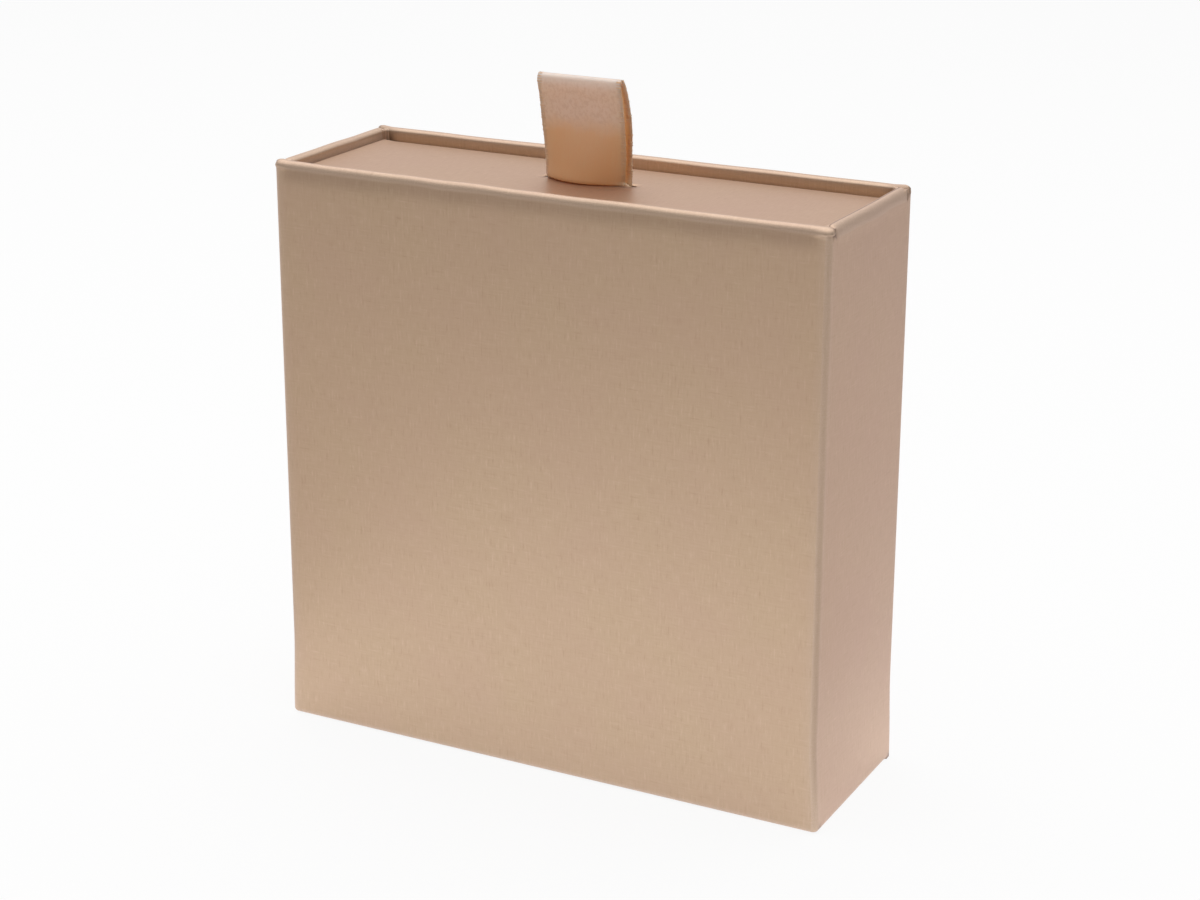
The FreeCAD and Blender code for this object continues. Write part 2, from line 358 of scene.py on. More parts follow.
def wall_point(case, line, kind, inset, height):
    """(along, out, up), wear with painted highlight, and painted shade round the lower fold, up
    the wall and to the rim.
    """
    c = line.top + height if kind == "rim" else height
    bow = case.look.bow * math.cos(math.pi / 2 * line.flat / line.reach) * arch(c / case.height)
    bow *= 0.6 + 0.4 * line.bowed
    if kind == "rim":
        drawn_in, worn, shade = rim_shape(case, line, -height)
        bow *= ease(-height / RIM_DROPS[0])
    else:  # a slit corner shows at the foot too, as painted shade
        drawn_in, worn, shade = 0.0, 0.0, line.shade * (fade(c, 1.6) * 0.8)
        # the crushed corner is also darkened with painted shade
        if case.look.chip and (line.panel, line.flat > 0) in CRUSHED_CORNER:
            crushed = ease(3.0 * (1 - (c + line.from_end) / case.look.chip))
            shade = max(shade, crushed)
            inset *= 1 - crushed
            c *= 1 - 0.6 * crushed
    inset = inset - bow * (0 if line.angle else 1) + drawn_in - line.step - case.swelling(line, c)
    if 0.1 < line.step / SEAM_STEP < 0.9:  # painted shade along the cut edge of the lap
        shade = max(shade, 0.5)
    radius = case.corner - inset
    along = line.flat + line.side * radius * math.sin(line.turn)
    out = line.deep_half - case.corner + radius * math.cos(line.turn)
    along, out = flared(case, line, along, out, c)
    worn = max(worn, line.corner_wear * (0.5 if line.angle else 0.2), 1 - c / (case.fold * 1.5))
    return (along, out, c), worn, shade


# %% Over the rim
BOARD_COVER = 0.13  # least paper over the board where a flap is notched
PIT_START, PIT_REACH = 0.9, 2.6  # painted shade deep inside a corner, beside the broad wall's end


def roll_point(case, line, angle):
    """(along, out, up), wear with painted highlight, and painted shade at an angle over the rim.
    """
    look, theta = case.look, math.radians(angle)
    outside, face = theta < math.pi / 2, case.height - BOARD_COVER
    outer = case.corner + line.bulge - line.hollow
    across = outer if outside else case.wall - case.corner + look.inner_bead
    rise = line.crest - line.top if outside else line.inner_roll
    floor = line.crest - rise
    across *= 1 - 0.26 * line.notch
    rise = rise * math.cos(line.turn) - look.dip * line.notch
    shade = line.shade
    if CREASE[0] < angle < CREASE[1]:  # pressed over the board's inner edge: a slight groove and a painted shade line
        shade = max(shade, look.crease[line.panel] * ease(line.from_end / 1.2))
        rise *= 1 - 0.06 * look.crease[line.panel]
    if line.broad and angle > 90:  # painted shade deep inside a corner
        pit = fade(line.from_end - PIT_START, PIT_REACH)
        shade = max(shade, 0.55 * pit * ease((angle - 90) / 50))
    along = line.flat + line.side * outer * math.sin(line.turn)
    out = line.deep_half - case.corner + across * math.cos(theta) * math.cos(line.turn)
    out += line.step * math.cos(theta)
    if line.turn and theta > math.pi / 2:  # both halves of a corner's roll meet
        floor += (line.top - floor) * math.sin(line.turn) ** 2
    up = floor + rise * math.sin(theta)
    # A notched flap still covers the board
    if line.notch and line.deep_half - case.wall + 0.1 < out < line.deep_half - BOARD_COVER:
        up = max(up, face)
    elif line.notch and up < face and outside:
        out = max(out, line.deep_half - BOARD_COVER)
    # the painted shadow under the rim starts on the roll's foot
    shade = max(shade, line.under_rim * 0.6 * fade(theta, 0.35))
    # wear with a painted highlight along the roll's crest
    worn = 0.5 + 0.2 * math.sin(theta)
    return (along, out, up), worn * (1 - 0.3 * shade), shade


# %% Down inside
def flap_point(case, line, kind, inset, height):
    """(along, out, up), wear with painted highlight, and painted shade on the flap that is pasted
    down inside.
    """
    look, top = case.look, line.crest - line.inner_roll
    c = top + height if kind == "in" else height
    drop = top - c
    lifted = look.inner_bead * fade(drop, 1.8) - look.inner_hollow * bell(drop - 2.2, 1.0)
    worn, shade = fade(drop, 1.2) * 0.5, 0.0
    if line.broad:
        # painted shade deep inside a corner
        shade = 0.65 * fade(line.from_end - PIT_START, PIT_REACH)
    else:  # the drawer slides along it, and the flap is painted lighter, a painted highlight
        worn = max(worn, look.rubbed * ease((FLAP_DROPS[-1] - drop) / 1.2))
    return (line.flat, line.deep_half - inset - lifted, c), worn, shade


# %% Which part of the paper a row belongs to
def paper_point(case, line, row):
    """(along, out, up), wear with painted highlight, and painted shade of one grid point."""
    kind, inset, height = row
    if kind == "roll":
        return roll_point(case, line, inset)
    if kind in ("in", "down"):
        return flap_point(case, line, kind, inset, height)
    on_foot = kind in ("under", "out") and inset > case.corner
    return (foot_point if on_foot else wall_point)(case, line, kind, inset, height)


# %% [markdown]
# A sheet starts as one layer of faces and gets its thickness at the end, from
# a Solidify modifier that grows inwards, so the outside stays where it was
# drawn. The four panels meet edge to edge, and welding joins them first.


# %% Faces for a grid of points
def grid_faces(first, lines, across, is_cut=None):
    """Four-sided faces of a grid whose points start at first, line after line."""
    faces = []
    for j in range(lines - 1):
        for i in range(across - 1):
            at = first + j * across + i
            if not (is_cut and is_cut(i, j)):
                faces.append((at, at + 1, at + 1 + across, at + across))
    return faces


# %% Pieces, and the thickness of a sheet
PAPER = 0.2  # thickness of the cover paper


def settle(piece):
    """Turn a piece and its modifiers into one plain mesh."""
    view = bpy.context.evaluated_depsgraph_get()
    mesh = bpy.data.meshes.new_from_object(
        piece.evaluated_get(view), preserve_all_data_layers=True, depsgraph=view)
    piece.modifiers.clear()
    old, piece.data = piece.data, mesh
    bpy.data.meshes.remove(old)
    mesh.name = piece.name


def new_piece(name, points_mm, faces, smooth=True):
    """A mesh object at the origin, from points in millimetres."""
    mesh = bpy.data.meshes.new(name)
    mesh.from_pydata([tuple(MM * x for x in p) for p in points_mm], [], faces)
    piece = bpy.data.objects.new(name, mesh)
    bpy.context.scene.collection.objects.link(piece)
    mesh.polygons.foreach_set("use_smooth", [smooth] * len(mesh.polygons))
    return piece


def add_uv(piece, uvs, name):
    """Flat places of the points, in millimetres, as a UV map."""
    layer = piece.data.uv_layers.new(name=name)
    corner = np.zeros(len(piece.data.loops), np.int32)
    piece.data.loops.foreach_get("vertex_index", corner)
    layer.data.foreach_set("uv", np.array(uvs, np.float32)[corner].ravel())


def weld(piece, distance=0.004 * MM):
    """Join points that lie on one another."""
    mesh = bmesh.new()
    mesh.from_mesh(piece.data)
    bmesh.ops.remove_doubles(mesh, verts=mesh.verts, dist=distance)
    bmesh.ops.dissolve_degenerate(mesh, edges=mesh.edges, dist=distance / 4)
    mesh.to_mesh(piece.data)
    mesh.free()


def thicken(piece, thickness, offset):
    """Grow a sheet inwards with an offset of -1, or to both sides with 0."""
    solid = piece.modifiers.new("thickness", "SOLIDIFY")
    solid.thickness = thickness * MM
    solid.offset = offset
    solid.use_even_offset = False
    settle(piece)
    print(piece.name, len(piece.data.polygons), "faces")


def paper_mesh(name, points, faces, uvs, worn, shade, thickness=PAPER):
    """A sheet of paper with its wear and painted highlight, and its painted shade, at every
    point.
    """
    piece = new_piece(name, points, faces)
    add_uv(piece, uvs, "flat_paper")
    for label, values in (("worn", worn), ("shade", shade)):
        layer = piece.data.attributes.new(label, "FLOAT", "POINT")
        layer.data.foreach_set("value", np.array(values, np.float32))
    weld(piece)
    thicken(piece, thickness, -1)
    return piece


# %% The whole sheet of one case
FOOT_GRAIN = 300.0  # shift that gives the closed foot a grain of its own


def foot_grid(case):
    """The flat middle of a closed foot, as lines of points."""
    inset, lines = case.look.under[0], []
    for k in (0, 1):
        reach = case.half[k] - case.corner
        flat = [x for x, angle in grid_columns(case, k) if not angle]
        lines.append([x * (case.half[k] - inset) / reach for x in flat])
    return [[(a, b) for a in lines[0]] for b in lines[1]]


def wrap(case, name):
    """Build the cover paper of a case, panel by panel."""
    rows, start = grid_rows(case), 0.0
    gaps = (row_gap(case, a, b) for a, b in zip(rows, rows[1:]))
    up_sheet = [0.0, *accumulate(gaps)]
    points, faces, uvs, worn, shade = [], [], [], [], []
    for panel in range(4):  # front, right, back, left
        columns = grid_columns(case, panel)
        arc = 0.0 if panel % 2 else case.corner * math.pi / 2
        middle = start + arc + (case.half[panel % 2] - case.corner)
        lines = [UprightLine(case, panel, flat, angle,
                             middle + flat + case.corner * math.radians(angle))
                 for flat, angle in columns]
        first = len(points)
        for row, v in zip(rows, up_sheet):
            for line in lines:
                (along, out, up), wear_highlight, dark = paper_point(case, line, row)
                a, b = ((along, -out), (out, along), (-along, out), (-out, -along))[panel]
                points.append(case.place(a, b, up))
                uvs.append((line.s, v))
                worn.append(wear_highlight)
                shade.append(dark)
        faces += grid_faces(first, len(rows), len(columns), lambda i, j: case.is_cut(
            panel, columns[i], columns[i + 1], rows[j], rows[j + 1]))
        start += case.lengths[panel % 2]
    if case.look.closed:
        grid, first = foot_grid(case), len(points)
        for a, b in (p for line in grid for p in line):
            points.append(case.place(a, b, 0.0))
            uvs.append((a + FOOT_GRAIN, b))
        worn += [0.0] * (len(points) - first)
        shade += [0.0] * (len(points) - first)
        quads = grid_faces(first, len(grid), len(grid[0]))
        faces += [(a, d, c, b) for a, b, c, d in quads]  # facing down
    return paper_mesh(name, points, faces, uvs, worn, shade)


# %% The sleeve's cover paper
WALL = 1.9  # board and papers together
SLEEVE_RISE = 0.26  # how far the rolled paper stands above the board
foot_level = sleeve_low[2]
sleeve_case = WrappedCase(
    sleeve_high[0], sleeve_high[1], sleeve_high[2] - foot_level,
    corner=1.0, fold=0.7, wall=WALL, place=lambda a, b, c: (a, b, foot_level + c),
    seed=11, step=2.6, under=(12.0, 8.0, 5.0, 3.4, 2.4, 1.6, 1.0), mitre=0.15, layer=0.12,
    bow=0.14, flare=(0.8, 0.5, 16.0), chip=1.5, seam=(3, -6.0),
    rise=SLEEVE_RISE, sag=(0.10, 0, 0, 0), ears=(0.0, 0.12, 0.16, 0.20),
    bead=(0.02, 0.06), knobs=(0.22, 0.04, 0.10, 0.12), hollow=0.10, under_rim=0.30,
    roll=1.15, side_roll=0.75, inner_roll=0.6, side_inner_roll=0.1, dip=0.4,
    crease=(0.2, 0.9, 0.2, 0.1), inner_bead=0.06, inner_hollow=0.05, rubbed=1.0,
    flap_end=85.0, lap=(90.0, 0.15),
)
sleeve_cover = wrap(sleeve_case, "sleeve_cover")


# %% [markdown]
# In each inner corner the short wall's flap is wider than its wall. Its
# trimmed end turns the corner and sticks to the broad wall as a narrow tab,
# which covers the bare corner of the board. The tab is a layer on its own, so
# it catches the light along its cut edge, and it is also painted lighter, most
# along that edge and at its top, as a painted highlight.

# %% Tabs in the four inner corners
TAB_REACH = (1.0, 0.75)  # how far a tab runs on the short wall and on the broad wall
TAB_BEND = 0.25
TAB_PAPER = 0.18  # pressed a little thinner than the rest
TAB_OFFSET = 0.10  # the tab's distance from the wall that it is stuck to
TAB_HEIGHTS = (86.0, 90.0, 94.0, 96.5, 98.0, 98.8)
TAB_GRAIN = 400.0  # shift of the tabs' grain


def corner_tab(side_a, side_b, random):
    """Grid of one tab: along the walls and round the corner, from flap end to rim."""
    wall_a, wall_b = sleeve_high[0] - WALL, sleeve_high[1] - WALL
    crest = sleeve_high[2] + SLEEVE_RISE - 0.65  # just under the roll's highest line
    rows = [(TAB_OFFSET, z) for z in TAB_HEIGHTS + (crest,)]
    for k in range(1, 5):
        turn = math.radians(10 * k)
        rows.append((TAB_OFFSET - 0.95 * (1 - math.cos(turn)), crest + 0.72 * math.sin(turn)))
    ragged = random.uniform(-0.08, 0.08, len(rows))
    grid = []
    for (offset, z), rag in zip(rows, ragged):
        bend = offset + TAB_BEND
        line = [(offset, q) for q in np.linspace(TAB_REACH[0], bend, 4)]
        for turn in (22.5, 45, 67.5, 90):
            t = math.radians(turn)
            line.append((bend - TAB_BEND * math.cos(t), bend - TAB_BEND * math.sin(t)))
        line += [(p, offset) for p in np.linspace(bend, TAB_REACH[1] + rag, 4)[1:]]
        grid.append([(side_a * (wall_a - p), side_b * (wall_b - q), z) for p, q in line])
    return grid


random = np.random.default_rng(5)
points, faces, uvs, worn = [], [], [], []
for side_a, side_b in ((-1, -1), (-1, 1), (1, -1), (1, 1)):
    grid = corner_tab(side_a, side_b, random)
    first, across = len(points), len(grid[0])
    for j, line in enumerate(grid):
        for i, p in enumerate(line):
            points.append(p)
            uvs.append((TAB_GRAIN + 30 * side_a + 8 * side_b + 0.25 * i, p[2]))
            # painted highlight: the tab is lighter, most at its cut edge and top
            worn.append(0.8 if i > across - 3 or j > len(grid) - 5 else 0.5)
    quads = grid_faces(first, len(grid), across)
    faces += quads if side_a * side_b < 0 else [quad[::-1] for quad in quads]
corner_tabs = paper_mesh(
    "sleeve_corner_tabs", points, faces, uvs, worn, [0.0] * len(worn), TAB_PAPER)


# %% [markdown]
# ## The tray
# The tray stands on edge inside the sleeve. Its mouth faces the broad front of
# the box, and of its four walls the pull end is what shows at the top. It is
# wrapped like the sleeve, and the same functions build it. Paste swells its
# walls a little, which leaves hardly any gap in the sleeve, and the paper
# stands up in two small lips along the slit that the ribbon comes out of.

# %% The tray's cover paper, with the slit for the ribbon
tails_low, tails_high = box_mm("ribbon_tails")
slit_y = (tails_low[1] + tails_high[1]) / 2
SLIT_HALF = 0.45  # half of the slit's width
SLIT_REACH = 8.5  # half of its length
PULL_CROWN, SIDE_CROWN = 0.08, 0.28  # swelling of the pull end and of the side walls
EDGE_SWELL, EDGE_REACH = 0.16, 2.5  # extra swelling where the pull end meets them
LIP, LIP_REACH = 0.10, 0.9  # the slit's lifted lips


class TrayCase(WrappedCase):
    """The tray's paper, swollen by the paste and cut through for the ribbon."""

    def swelling(self, line, c):
        if not line.broad:
            return SIDE_CROWN * arch(c / self.height)
        slit_low, slit_high = self.look.slit
        off_end = max(0.0, abs(line.flat) - SLIT_REACH)
        off_line = max(slit_low - c, c - slit_high, 0.0)
        crown = PULL_CROWN * (1 - (line.flat / self.half[0]) ** 2) * arch(c / self.height)
        edge = EDGE_SWELL * fade(self.half[0] - abs(line.flat), EDGE_REACH)
        return crown + edge + LIP * bell(math.hypot(off_end, off_line), LIP_REACH)

    def is_cut(self, panel, left, right, below, above):
        low, high = self.look.slit
        flat, c = (left[0] + right[0]) / 2, (below[2] + above[2]) / 2
        on_wall = panel == 2 and {below[0], above[0]} <= {"out", "down"}
        if on_wall and abs(flat) < SLIT_REACH and low < c < high:
            return True
        return super().is_cut(panel, left, right, below, above)


slit_from_mouth = tray_high[1] - slit_y
tray_middle = (tray_high[2] + tray_low[2]) / 2
tray_case = TrayCase(
    tray_high[0], (tray_high[2] - tray_low[2]) / 2, tray_high[1] - tray_low[1],
    corner=0.3, fold=1.3, wall=WALL,
    place=lambda a, b, c: (a, tray_high[1] - c, tray_middle + b),
    seed=23, step=2.2, under=(2.6, 1.8), closed=True, seam=(1, -7.0),
    rise=0.05, bead=(0.03, 0.03), roll=0.9, inner_roll=0.8, dip=0.2,
    crease=(0.15, 0.4, 0.15, 0.4), inner_bead=0.04, flap_end=1.95,
    slit=(slit_from_mouth - SLIT_HALF, slit_from_mouth + SLIT_HALF),
    slit_ends=(-SLIT_REACH, SLIT_REACH),
)
tray_cover = wrap(tray_case, "tray_cover")


# %% [markdown]
# ## The ribbon
# The pull is one length of satin ribbon, folded in half. Its two ends go
# through the slit and are pasted out flat under a patch. Outside, the front
# leg is pinched straight where it leaves the slit but cups forward, which
# keeps the loop standing.
#
# A bent strip could come from a curve with a flat bevel, but a bevel can't cup
# the strip, so the mesh is a grid again: each row has one place for the
# ribbon's edges and one for its middle, and the points between lie on a bow.

# %% Rows of the ribbon, as (edge y, edge z, middle y, middle z, twist)
RIBBON_HALF = box_mm("ribbon_loop")[1][0]
TAIL_LEVEL = tails_low[2] + 0.15


def straight(*places):
    """Rows where the middle lies level with the edges."""
    return [(y, z, y, z, 0) for y, z in places]


back_rows = straight(
    (tails_high[1], TAIL_LEVEL), (6.0, TAIL_LEVEL), (2.4, TAIL_LEVEL),
    (1.45, 96.44), (1.2, 97.0), (1.2, 97.7), (1.2, 98.3),
) + [
    (1.22, 98.8, 1.24, 98.8, 0.05),
    (1.25, 99.8, 1.6, 99.8, 0.15),
    (1.3, 101.5, 2.1, 101.5, 0.2),
    (1.35, 103.5, 2.3, 103.5, 0.2),
    (1.35, 105.3, 2.2, 105.3, 0.15),
    (1.27, 107.4, 1.8, 107.4, 0.1),
    (0.9, 109.5, 1.15, 109.5, 0.05),
    (0.2, 112.1, 0.28, 112.1, 0),
    (-0.7, 114.3, -0.68, 114.3, 0),
]
fold_rows = straight(
    (-1.36, 115.45), (-1.80, 116.08), (-2.28, 116.30), (-2.72, 116.08), (-2.86, 115.55))
front_rows = [
    (-2.64, 114.2, -2.66, 114.2, 0),
    (-2.15, 112.5, -2.22, 112.5, 0),
    (-1.65, 110.0, -1.85, 110.0, 0.0),
    (-1.15, 107.5, -1.72, 107.5, 0.0),
    (-0.6, 105.0, -1.65, 105.0, 0.0),
    (-0.2, 102.8, -1.72, 102.7, 0.1),
    (0.1, 101.0, -1.88, 100.9, 0.2),
    (0.3, 99.8, -1.98, 99.6, 0.4),
    (0.48, 99.2, -1.95, 98.95, 0.45),
    (0.64, 98.85, -1.55, 98.74, 0.3),
    (0.76, 98.6, -0.3, 98.70, 0.1),
    (0.8, 98.3, 0.70, 98.5, 0),
] + straight(
    (0.8, 97.7), (0.8, 97.0), (0.55, 96.44),
    (-0.4, TAIL_LEVEL), (-4.0, TAIL_LEVEL), (tails_low[1], TAIL_LEVEL),
)


# %% Even rows on a smooth line
ROW_STEP = 0.35  # distance of the ribbon's rows


def smooth_rows(keys, step):
    """Evenly spaced rows on a smooth line through the keys, and how far along each is."""
    keys = np.array(keys, float)
    gaps = np.linalg.norm(np.diff(keys[:, :4], axis=0), axis=1) ** 0.5
    knots = np.concatenate([[0], np.cumsum(gaps)])
    slopes = np.gradient(keys, knots, axis=0)
    fine = []
    for k, width in enumerate(np.diff(knots)):
        for t in np.linspace(0, 1, 24, endpoint=False):
            start, end = 2 * t**3 - 3 * t**2 + 1, -2 * t**3 + 3 * t**2
            leaving, arriving = t**3 - 2 * t**2 + t, t**3 - t**2
            fine.append(start * keys[k] + leaving * width * slopes[k]
                        + end * keys[k + 1] + arriving * width * slopes[k + 1])
    fine = np.array(fine + [keys[-1]])
    middle = 0.5 * (fine[:, :2] + fine[:, 2:4])
    run = np.concatenate([[0], np.cumsum(np.linalg.norm(np.diff(middle, axis=0), axis=1))])
    even = np.linspace(0, run[-1], round(run[-1] / step) + 1)
    return np.array([np.interp(even, run, fine[:, k]) for k in range(5)]).T, even


ribbon_rows, ribbon_run = smooth_rows(back_rows + fold_rows + front_rows, ROW_STEP)
fold_run = ribbon_run[int(np.argmax(ribbon_rows[:, 1]))]


# %% The satin strip
RIBBON_THICK = 0.28
ACROSS = 24  # cells across the ribbon
DRIFT = 0.85  # how far a cupped row moves left, as a share of what its half width loses


def ribbon_point(row, across):
    """A point on the ribbon, across from -1 to 1."""
    edge_y, edge_z, middle_y, middle_z, twist = row
    bow = 1 - across * across
    depth = math.hypot(middle_y - edge_y, middle_z - edge_z)
    narrowed = 1 - 8 / 3 * (depth / (2 * RIBBON_HALF)) ** 2
    x = RIBBON_HALF * (narrowed * across - DRIFT * (1 - narrowed))
    y = edge_y + (middle_y - edge_y) * bow + twist * across
    z = edge_z + (middle_z - edge_z) * bow
    return np.array([x, y, z])


points, uvs = [], []
for row, run in zip(ribbon_rows, ribbon_run):
    for k in range(ACROSS + 1):
        across = 2 * k / ACROSS - 1
        points.append(ribbon_point(row, across))
        uvs.append((across * RIBBON_HALF, run))
pull_ribbon = new_piece("pull_ribbon", points, grid_faces(0, len(ribbon_rows), ACROSS + 1))
add_uv(pull_ribbon, uvs, "flat_ribbon")
thicken(pull_ribbon, RIBBON_THICK, 0)


# %% [markdown]
# ## The ribbon's woven edge
# Satin ribbon is finished with a selvedge: the crosswise thread turns back at
# each edge and leaves a row of tiny ribs. They repeat along a path, so Geometry
# Nodes lay them: the path's points carry the ribbon's own directions, a rib is
# put at every pitch, and each is turned to lie on the ribbon.

# %% The two edge lines, with the ribbon's directions on them
SELVEDGE = 0.955  # where the ribs' middles lie, as a share of the half width


def unit(way):
    """The same direction, one long."""
    return way / np.linalg.norm(way)


points, edges, across_ways, facing_ways = [], [], [], []
last = len(ribbon_rows) - 1
for side in (-1, 1):
    for k, row in enumerate(ribbon_rows):
        across_way = ribbon_point(row, side) - ribbon_point(row, side * 0.9)
        ahead, behind = ribbon_rows[min(k + 1, last)], ribbon_rows[max(k - 1, 0)]
        along_way = ribbon_point(ahead, side * SELVEDGE) - ribbon_point(behind, side * SELVEDGE)
        across_ways.append(unit(across_way))
        facing_ways.append(unit(np.cross(across_way * side, along_way)))
        if k:
            edges.append((len(points) - 1, len(points)))
        points.append(ribbon_point(row, side * SELVEDGE) * MM)
mesh = bpy.data.meshes.new("selvedge_lines")
mesh.from_pydata([tuple(p) for p in points], edges, [])
for name, values in (("across", across_ways), ("facing", facing_ways)):
    layer = mesh.attributes.new(name, "FLOAT_VECTOR", "POINT")
    layer.data.foreach_set("vector", np.array(values, np.float32).ravel())
selvedge = bpy.data.objects.new("ribbon_selvedge", mesh)
bpy.context.scene.collection.objects.link(selvedge)
print("edge lines:", len(points), "points")


# %% The tree and its inputs
RIB_INPUTS = (
    ("Pitch", "NodeSocketFloat", 0.42 * MM),
    ("Rib Length", "NodeSocketFloat", 0.75 * MM),
    ("Rib Width", "NodeSocketFloat", 0.36 * MM),
    ("Rib Height", "NodeSocketFloat", 0.34 * MM),
    ("Unevenness", "NodeSocketFloat", 0.12),
    ("Seed", "NodeSocketInt", 7),
    ("Material", "NodeSocketMaterial", None),
)
rib_tree = bpy.data.node_groups.new("Ribs along a line", "GeometryNodeTree")
rib_tree.interface.new_socket("Geometry", in_out="INPUT", socket_type="NodeSocketGeometry")
for label, kind, value in RIB_INPUTS:
    socket = rib_tree.interface.new_socket(label, in_out="INPUT", socket_type=kind)
    if value is not None:
        socket.default_value = value
rib_tree.interface.new_socket("Geometry", in_out="OUTPUT", socket_type="NodeSocketGeometry")
print("rib tree's inputs:", ", ".join(label for label, _, _ in RIB_INPUTS))


# %% Helpers for its nodes and wires
def rib_node(kind, x, y, values=(), **settings):
    """A node of the tree at a place in its editor, with values for its inputs."""
    made = rib_tree.nodes.new(kind)
    made.location = (x, y)
    for key, value in settings.items():
        setattr(made, key, value)
    for socket, value in dict(values).items():
        made.inputs[socket].default_value = value
    return made


def wire(*wires):
    """Links, each as (node, its output, node, its input)."""
    for source, output, target, entry in wires:
        rib_tree.links.new(source.outputs[output], target.inputs[entry])


# %% A rib at every pitch along the line
given = rib_node("NodeGroupInput", -900, 0)
line = rib_node("GeometryNodeMeshToCurve", -700, 100)
spread = rib_node("GeometryNodeResampleCurve", -520, 100, mode="LENGTH")
rib = rib_node("GeometryNodeMeshCylinder", -700, -260,
               {"Vertices": 8, "Radius": 0.5, "Depth": 1.0}, fill_type="NGON")
lay = rib_node("GeometryNodeTransform", -520, -260, {"Rotation": (0, math.pi / 2, 0)})
place = rib_node("GeometryNodeInstanceOnPoints", 60, 60)
wire(
    (given, "Geometry", line, "Mesh"), (line, "Curve", spread, "Curve"),
    (given, "Pitch", spread, "Length"), (spread, "Curve", place, "Points"),
    (rib, "Mesh", lay, "Geometry"), (lay, "Geometry", place, "Instance"),
)

# %% Each rib's direction
VECTOR = dict(data_type="FLOAT_VECTOR")
across_in = rib_node("GeometryNodeInputNamedAttribute", -520, -80, {"Name": "across"}, **VECTOR)
facing_in = rib_node("GeometryNodeInputNamedAttribute", -520, -160, {"Name": "facing"}, **VECTOR)
turned = rib_node("FunctionNodeAxesToRotation", -300, -60, primary_axis="X", secondary_axis="Z")
wire(
    (across_in, "Attribute", turned, "Primary Axis"),
    (facing_in, "Attribute", turned, "Secondary Axis"),
    (turned, "Rotation", place, "Rotation"),
)

# %% Each rib's size, a little uneven
size = rib_node("ShaderNodeCombineXYZ", -520, -480)
smallest = rib_node("ShaderNodeMath", -500, -640, {0: 1.0}, operation="SUBTRACT")
largest = rib_node("ShaderNodeMath", -500, -780, {0: 1.0}, operation="ADD")
vary = rib_node("FunctionNodeRandomValue", -300, -480, data_type="FLOAT")
scaled = rib_node("ShaderNodeVectorMath", -120, -400, operation="SCALE")
wire(
    (given, "Rib Length", size, "X"), (given, "Rib Width", size, "Y"),
    (given, "Rib Height", size, "Z"), (size, 0, scaled, 0),
    (given, "Unevenness", smallest, 1), (given, "Unevenness", largest, 1),
    (smallest, 0, vary, "Min"), (largest, 0, vary, "Max"), (given, "Seed", vary, "Seed"),
    (vary, "Value", scaled, "Scale"), (scaled, 0, place, "Scale"),
)

# %% Real meshes with a material
real = rib_node("GeometryNodeRealizeInstances", 240, 60)
smooth = rib_node("GeometryNodeSetShadeSmooth", 400, 60)
dressed = rib_node("GeometryNodeSetMaterial", 560, 60)
result = rib_node("NodeGroupOutput", 740, 60)
wire(
    (place, "Instances", real, "Geometry"), (real, "Geometry", smooth, "Geometry"),
    (smooth, "Geometry", dressed, "Geometry"), (given, "Material", dressed, "Material"),
    (dressed, "Geometry", result, "Geometry"),
)
print("rib tree:", len(rib_tree.nodes), "nodes,", len(rib_tree.links), "links")


# %% [markdown]
# ## Materials
# Every finish is made of nodes, so it has no fixed resolution and follows the
# piece's own coordinates. The cover papers and the ribbon read their UV map,
# because their grain has to run over every fold, and the other pieces read
# Object coordinates. A small class keeps the nodes' long names in one place.


